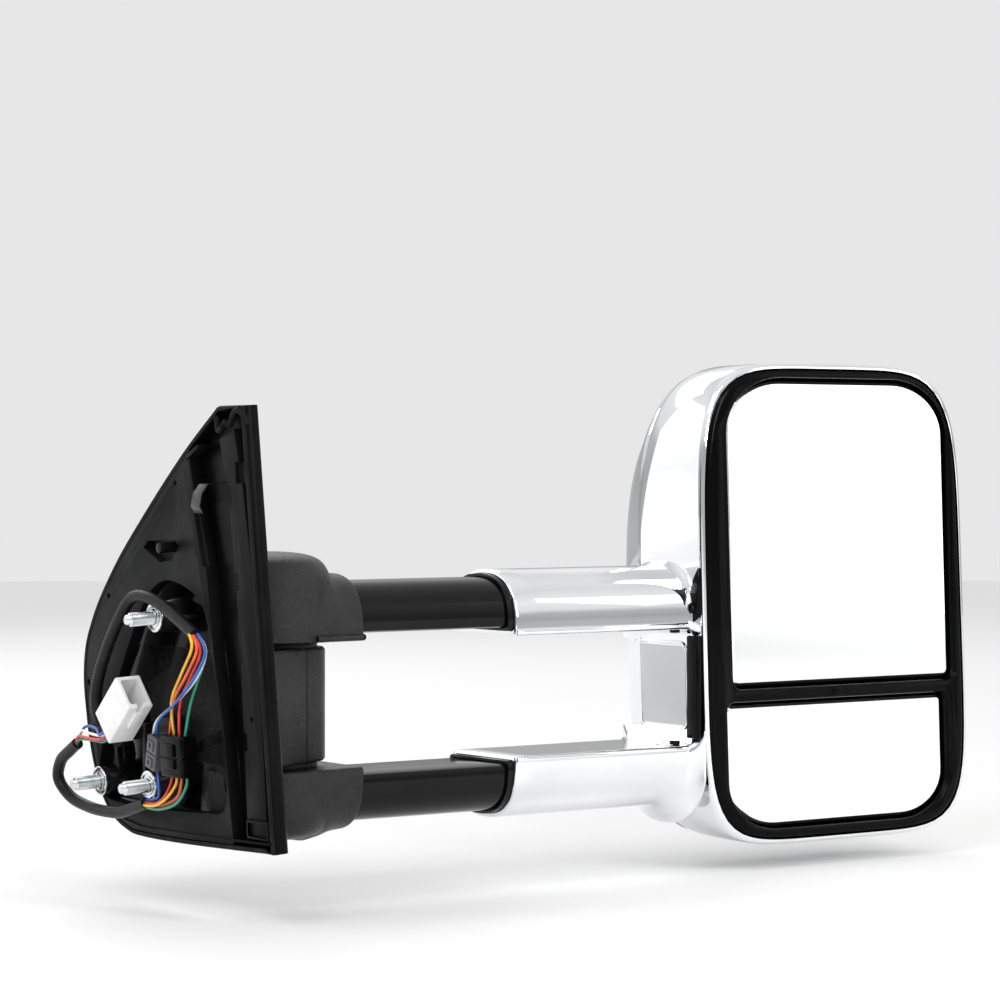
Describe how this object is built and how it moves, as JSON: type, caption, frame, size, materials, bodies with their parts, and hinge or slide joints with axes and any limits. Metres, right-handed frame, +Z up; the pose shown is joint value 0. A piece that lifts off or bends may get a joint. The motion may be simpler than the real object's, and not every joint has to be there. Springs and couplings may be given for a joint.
{
  "type": "extendable towing mirror",
  "caption": "Chrome extendable towing mirror for a vehicle door, right-hand side: door plate with studs and wiring, folding twin arms, telescoping head, main and lower panes, amber lamp.",
  "frame": {"origin": "on the flat face of the door plate bracket that lies against the door, near its middle, level with the upper arm", "axes": "+X away from the door along the arms, +Y towards the front of the vehicle (the glass faces -Y), +Z up"},
  "size_m": [0.5932, 0.213, 0.2998],
  "materials": {
    "chrome": "bright mirror plating on moulded shell",
    "black_grained_plastic": "fine leather grain, satin",
    "black_gloss_plastic": "smooth, glossy",
    "dark_grey_plastic": "plain moulded, satin",
    "cast_black": "black e-coat on a casting",
    "zinc_steel": "bright zinc plate",
    "seal_rubber": "soft matt",
    "mirror_glass": "silvered glass",
    "amber_lens": "clear amber moulding, lit from behind",
    "white_nylon": "natural white nylon",
    "board_green": "circuit board",
    "loom_black": "black sleeve over wires",
    "wire_colours": "coloured wire insulation"
  },
  "bodies": {
    "mount": {"sail_cover": "black_grained_plastic", "rubber_seal": "seal_rubber", "mount_bracket": "dark_grey_plastic", "edge_channel": "black_grained_plastic", "cast_bracket": "cast_black", "stud_upper": "zinc_steel", "stud_front": "zinc_steel", "stud_rear": "zinc_steel", "flange_washer_upper": "zinc_steel", "flange_washer_front": "zinc_steel", "flange_washer_rear": "zinc_steel", "locating_pin": "dark_grey_plastic", "cable_grommet": "seal_rubber", "spring_clip": "zinc_steel", "pivot_column": "black_grained_plastic", "pivot_shaft": "zinc_steel", "shaft_nut": "zinc_steel", "bush_upper": "dark_grey_plastic", "bush_lower": "dark_grey_plastic", "detent_spring": "zinc_steel", "loom_upper": "loom_black", "wires_upper": "wire_colours", "connector_black": "black_gloss_plastic", "connector_small": "dark_grey_plastic", "wires_lower": "wire_colours", "loom_lower": "loom_black", "wires_plug": "wire_colours", "plug_white": "white_nylon"},
    "arm": {"elbow_upper": "black_grained_plastic", "elbow_lower": "black_grained_plastic", "tube_upper": "black_gloss_plastic", "tube_lower": "black_gloss_plastic", "tube_stop_upper": "dark_grey_plastic", "tube_stop_lower": "dark_grey_plastic"},
    "head": {"head_shell": "chrome", "chrome_sleeve_upper": "chrome", "chrome_sleeve_lower": "chrome", "sleeve_liner_upper": "black_gloss_plastic", "sleeve_liner_lower": "black_gloss_plastic", "sleeve_screw_upper": "cast_black", "sleeve_screw_lower": "cast_black", "frame_strip": "black_gloss_plastic", "bezel": "black_gloss_plastic", "lamp_lens": "amber_lens", "lamp_housing": "dark_grey_plastic", "led_board": "board_green", "inner_frame": "dark_grey_plastic", "actuator_housing": "dark_grey_plastic", "lower_support": "dark_grey_plastic", "frame_screw_1": "zinc_steel", "frame_screw_2": "zinc_steel"},
    "main_gimbal": {"gimbal_ring_upper": "dark_grey_plastic"},
    "main_pane": {"glass_backing_upper": "dark_grey_plastic", "mirror_glass_upper": "mirror_glass"},
    "spotter_gimbal": {"gimbal_ring_lower": "dark_grey_plastic"},
    "spotter_pane": {"glass_backing_lower": "dark_grey_plastic", "mirror_glass_lower": "mirror_glass"},
    "pan_screw": {"pan_jackscrew": "white_nylon"},
    "tilt_screw": {"tilt_jackscrew": "white_nylon"}
  },
  "joints": [
    {"name": "fold", "type": "hinge", "parent": "mount", "child": "arm", "pos_m": [0.056, 0, -0.0425], "axis": [0, 0, 1], "range_deg": [-75, 60]},
    {"name": "extend", "type": "slide", "parent": "arm", "child": "head", "axis": [1, 0, 0], "range_m": [-0.1, 0]},
    {"name": "main_pan", "type": "hinge", "parent": "head", "child": "main_gimbal", "pos_m": [0.457, -0.024, 0.0515], "axis": [0, 0, 1], "range_deg": [-6, 6]},
    {"name": "main_tilt", "type": "hinge", "parent": "main_gimbal", "child": "main_pane", "pos_m": [0.457, -0.024, 0.0515], "axis": [1, 0, 0], "range_deg": [-6, 6]},
    {"name": "spotter_pan", "type": "hinge", "parent": "head", "child": "spotter_gimbal", "pos_m": [0.456, -0.024, -0.093], "axis": [0, 0, 1], "range_deg": [-5, 5]},
    {"name": "spotter_tilt", "type": "hinge", "parent": "spotter_gimbal", "child": "spotter_pane", "pos_m": [0.456, -0.024, -0.093], "axis": [1, 0, 0], "range_deg": [-5, 5]},
    {"name": "pan_screw_travel", "type": "slide", "parent": "head", "child": "pan_screw", "axis": [0, 1, 0], "range_m": [-0.005, 0.005]},
    {"name": "tilt_screw_travel", "type": "slide", "parent": "head", "child": "tilt_screw", "axis": [0, 1, 0], "range_m": [-0.005, 0.005]}
  ],
  "couplings": [
    {"joint": "pan_screw_travel", "follows": "main_pan", "m_per_rad": 0.046},
    {"joint": "tilt_screw_travel", "follows": "main_tilt", "m_per_rad": -0.043}
  ]
}
